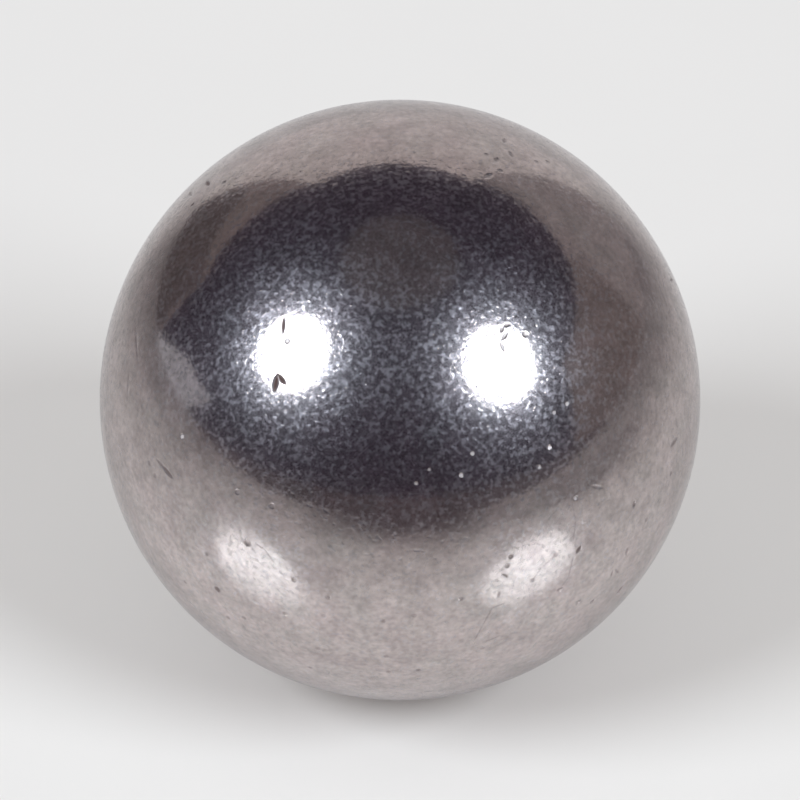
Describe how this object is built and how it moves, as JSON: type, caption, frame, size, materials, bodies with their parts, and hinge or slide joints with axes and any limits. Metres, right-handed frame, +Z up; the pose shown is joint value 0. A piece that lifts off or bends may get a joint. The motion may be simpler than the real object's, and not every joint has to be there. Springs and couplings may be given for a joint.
{
  "type": "steel ball",
  "caption": "Solid polished steel ball with light wear, for use as a bench weight, rolling element or lab ball; it rests in a cup, ring or magnet.",
  "frame": {"origin": "centre of the ball", "axes": "+Z up, -Y the side that carries the V-shaped strike and most of the dents, +X to the right of it"},
  "size_m": [0.0254, 0.0254, 0.0254],
  "materials": {
    "polished_steel": "polished"
  },
  "bodies": {
    "root": {"ball": "polished_steel"}
  },
  "joints": []
}
